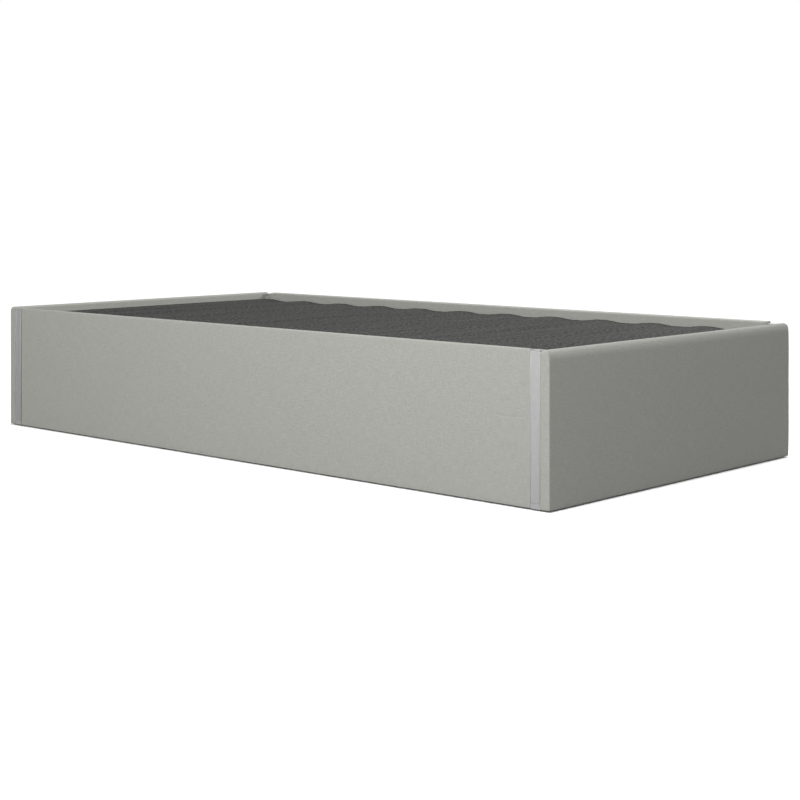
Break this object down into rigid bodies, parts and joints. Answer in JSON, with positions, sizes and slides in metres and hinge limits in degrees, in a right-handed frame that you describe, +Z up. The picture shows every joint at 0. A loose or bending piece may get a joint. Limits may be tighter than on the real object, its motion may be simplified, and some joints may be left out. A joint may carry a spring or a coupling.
{
  "type": "upholstered bed base",
  "caption": "Low box-shaped upholstered bed base: padded fabric panels joined by aluminium corner posts around a drop-in slatted base with a stretched cover.",
  "frame": {"origin": "on the floor under the middle of the bed", "axes": "+Z up, +Y along the bed from the foot end to the head end, +X to the right-hand side as seen from the foot end"},
  "size_m": [1.056, 2.074, 0.362],
  "materials": {
    "upholstery": "matte",
    "foam": "matte",
    "board": "matte",
    "aluminium": "satin",
    "cap_plastic": "satin",
    "foot_plastic": "matte",
    "zinc_steel": "satin",
    "black_steel": "matte",
    "softwood": "matte",
    "beech": "satin",
    "felt": "matte",
    "charcoal": "matte"
  },
  "bodies": {
    "box": {"foot_board": "board", "foot_foam": "foam", "foot_cover": "upholstery", "head_board": "board", "head_foam": "foam", "head_cover": "upholstery", "left_board": "board", "left_foam": "foam", "left_cover": "upholstery", "right_board": "board", "right_foam": "foam", "right_cover": "upholstery", "corner_post_foot_left": "aluminium", "post_cap_foot_left": "cap_plastic", "post_plug_foot_left": "cap_plastic", "corner_bracket_foot_left": "zinc_steel", "bracket_bolt_foot_left_lower": "zinc_steel", "bracket_bolt_foot_left_upper": "zinc_steel", "corner_post_foot_right": "aluminium", "post_cap_foot_right": "cap_plastic", "post_plug_foot_right": "cap_plastic", "corner_bracket_foot_right": "zinc_steel", "bracket_bolt_foot_right_lower": "zinc_steel", "bracket_bolt_foot_right_upper": "zinc_steel", "corner_post_head_left": "aluminium", "post_cap_head_left": "cap_plastic", "post_plug_head_left": "cap_plastic", "corner_bracket_head_left": "zinc_steel", "bracket_bolt_head_left_lower": "zinc_steel", "bracket_bolt_head_left_upper": "zinc_steel", "corner_post_head_right": "aluminium", "post_cap_head_right": "cap_plastic", "post_plug_head_right": "cap_plastic", "corner_bracket_head_right": "zinc_steel", "bracket_bolt_head_right_lower": "zinc_steel", "bracket_bolt_head_right_upper": "zinc_steel", "bearer_left": "black_steel", "bearer_right": "black_steel"},
    "slatted_base": {"slat_rail_left": "softwood", "slat_rail_right": "softwood", "end_rail_foot": "softwood", "end_rail_head": "softwood", "slat_01": "beech", "slat_02": "beech", "slat_03": "beech", "slat_04": "beech", "slat_05": "beech", "slat_06": "beech", "slat_07": "beech", "slat_08": "beech", "slat_09": "beech", "slat_10": "beech", "slat_11": "beech", "slat_12": "beech", "felt_pad": "felt", "base_cover": "charcoal"},
    "foot_screw_foot_left": {"levelling_foot_foot_left": "foot_plastic"},
    "foot_screw_foot_right": {"levelling_foot_foot_right": "foot_plastic"},
    "foot_screw_head_left": {"levelling_foot_head_left": "foot_plastic"},
    "foot_screw_head_right": {"levelling_foot_head_right": "foot_plastic"}
  },
  "joints": [
    {"name": "base_lift", "type": "slide", "parent": "box", "child": "slatted_base", "axis": [0, 0, 1], "range_m": [0, 0.15]},
    {"name": "foot_level_foot_left", "type": "slide", "parent": "box", "child": "foot_screw_foot_left", "axis": [0, 0, -1], "range_m": [0, 0.01]},
    {"name": "foot_level_foot_right", "type": "slide", "parent": "box", "child": "foot_screw_foot_right", "axis": [0, 0, -1], "range_m": [0, 0.01]},
    {"name": "foot_level_head_left", "type": "slide", "parent": "box", "child": "foot_screw_head_left", "axis": [0, 0, -1], "range_m": [0, 0.01]},
    {"name": "foot_level_head_right", "type": "slide", "parent": "box", "child": "foot_screw_head_right", "axis": [0, 0, -1], "range_m": [0, 0.01]}
  ]
}
